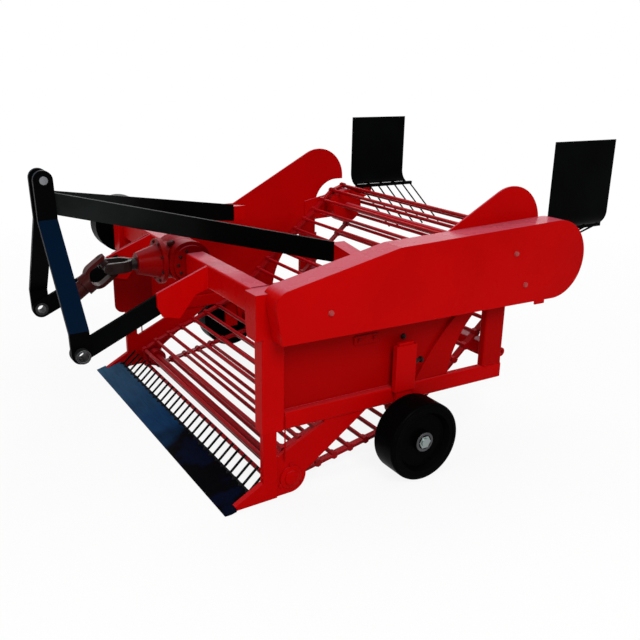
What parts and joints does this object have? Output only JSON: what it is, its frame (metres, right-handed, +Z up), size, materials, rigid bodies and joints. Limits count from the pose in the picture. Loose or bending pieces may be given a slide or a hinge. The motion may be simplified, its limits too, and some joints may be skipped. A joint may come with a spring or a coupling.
{
  "type": "potato digger",
  "caption": "Tractor-mounted potato digger with a flat share, comb, rod-chain conveyor, gauge wheels and three-point hitch.",
  "frame": {"origin": "on the ground, under the middle of the machine's box", "axes": "+X to the machine's left, where the drive cover is; -Y forward to the tractor; +Z up"},
  "size_m": [1.536, 1.8972, 1.026],
  "materials": {
    "red_paint": "gloss red paint on sheet and tube",
    "black_paint": "satin black paint",
    "dark_steel": "dark bare steel bar",
    "blued_steel": "rolled steel with a blue-black scale",
    "bright_steel": "zinc-bright pin"
  },
  "bodies": {
    "frame": {"arm_bracket_left": "red_paint", "arm_bracket_right": "red_paint", "brace_stub_left": "black_paint", "brace_stub_right": "black_paint", "conveyor_chain": "red_paint", "drive_cover": "red_paint", "far_disc": "black_paint", "front_cross_beam": "red_paint", "front_idler": "red_paint", "front_post_left": "red_paint", "front_post_right": "red_paint", "gearbox": "red_paint", "guard_plate_right": "red_paint", "head_arm_left": "red_paint", "head_arm_right": "red_paint", "head_shaft": "red_paint", "hitch_leg_left": "black_paint", "hitch_leg_right": "black_paint", "lower_arm_left": "black_paint", "lower_arm_right": "black_paint", "lower_beam_left": "red_paint", "lower_beam_right": "red_paint", "lower_bush_left": "black_paint", "lower_bush_right": "black_paint", "rear_cross_tube": "red_paint", "rear_flap_left": "black_paint", "rear_flap_right": "black_paint", "rear_post_left": "red_paint", "rear_post_right": "red_paint", "return_idler": "red_paint", "share_blade": "blued_steel", "share_comb": "dark_steel", "side_foot_left": "red_paint", "side_foot_right": "red_paint", "side_plate_left": "red_paint", "side_plate_right": "red_paint", "top_brace_left": "black_paint", "top_brace_right": "black_paint", "top_pin": "bright_steel", "wheel_leg_left": "red_paint", "wheel_leg_right": "red_paint"},
    "wheel_left": {"wheel_left": "black_paint"},
    "wheel_right": {"wheel_right": "black_paint"},
    "pto_input": {"pto_input": "dark_steel"},
    "pto_cross": {"pto_cross": "dark_steel"},
    "pto_shaft": {"pto_shaft": "dark_steel"}
  },
  "joints": [
    {"name": "wheel_left_spin", "type": "hinge", "parent": "frame", "child": "wheel_left", "pos_m": [0.7145, 0.01762, 0.131], "axis": [1, 0, 0], "continuous": true},
    {"name": "wheel_right_spin", "type": "hinge", "parent": "frame", "child": "wheel_right", "pos_m": [-0.7145, 0.01762, 0.131], "axis": [1, 0, 0], "continuous": true},
    {"name": "pto_input_spin", "type": "hinge", "parent": "frame", "child": "pto_input", "pos_m": [0, -0.73638, 0.617], "axis": [0, 1, 0], "continuous": true},
    {"name": "pto_cross_swivel", "type": "hinge", "parent": "pto_input", "child": "pto_cross", "pos_m": [0, -0.73638, 0.617], "axis": [1, 0, 0], "range_deg": [-86, 14]},
    {"name": "pto_shaft_swivel", "type": "hinge", "parent": "pto_cross", "child": "pto_shaft", "pos_m": [0, -0.73638, 0.617], "axis": [0, -0.5878, 0.809], "range_deg": [-45, 45]}
  ]
}
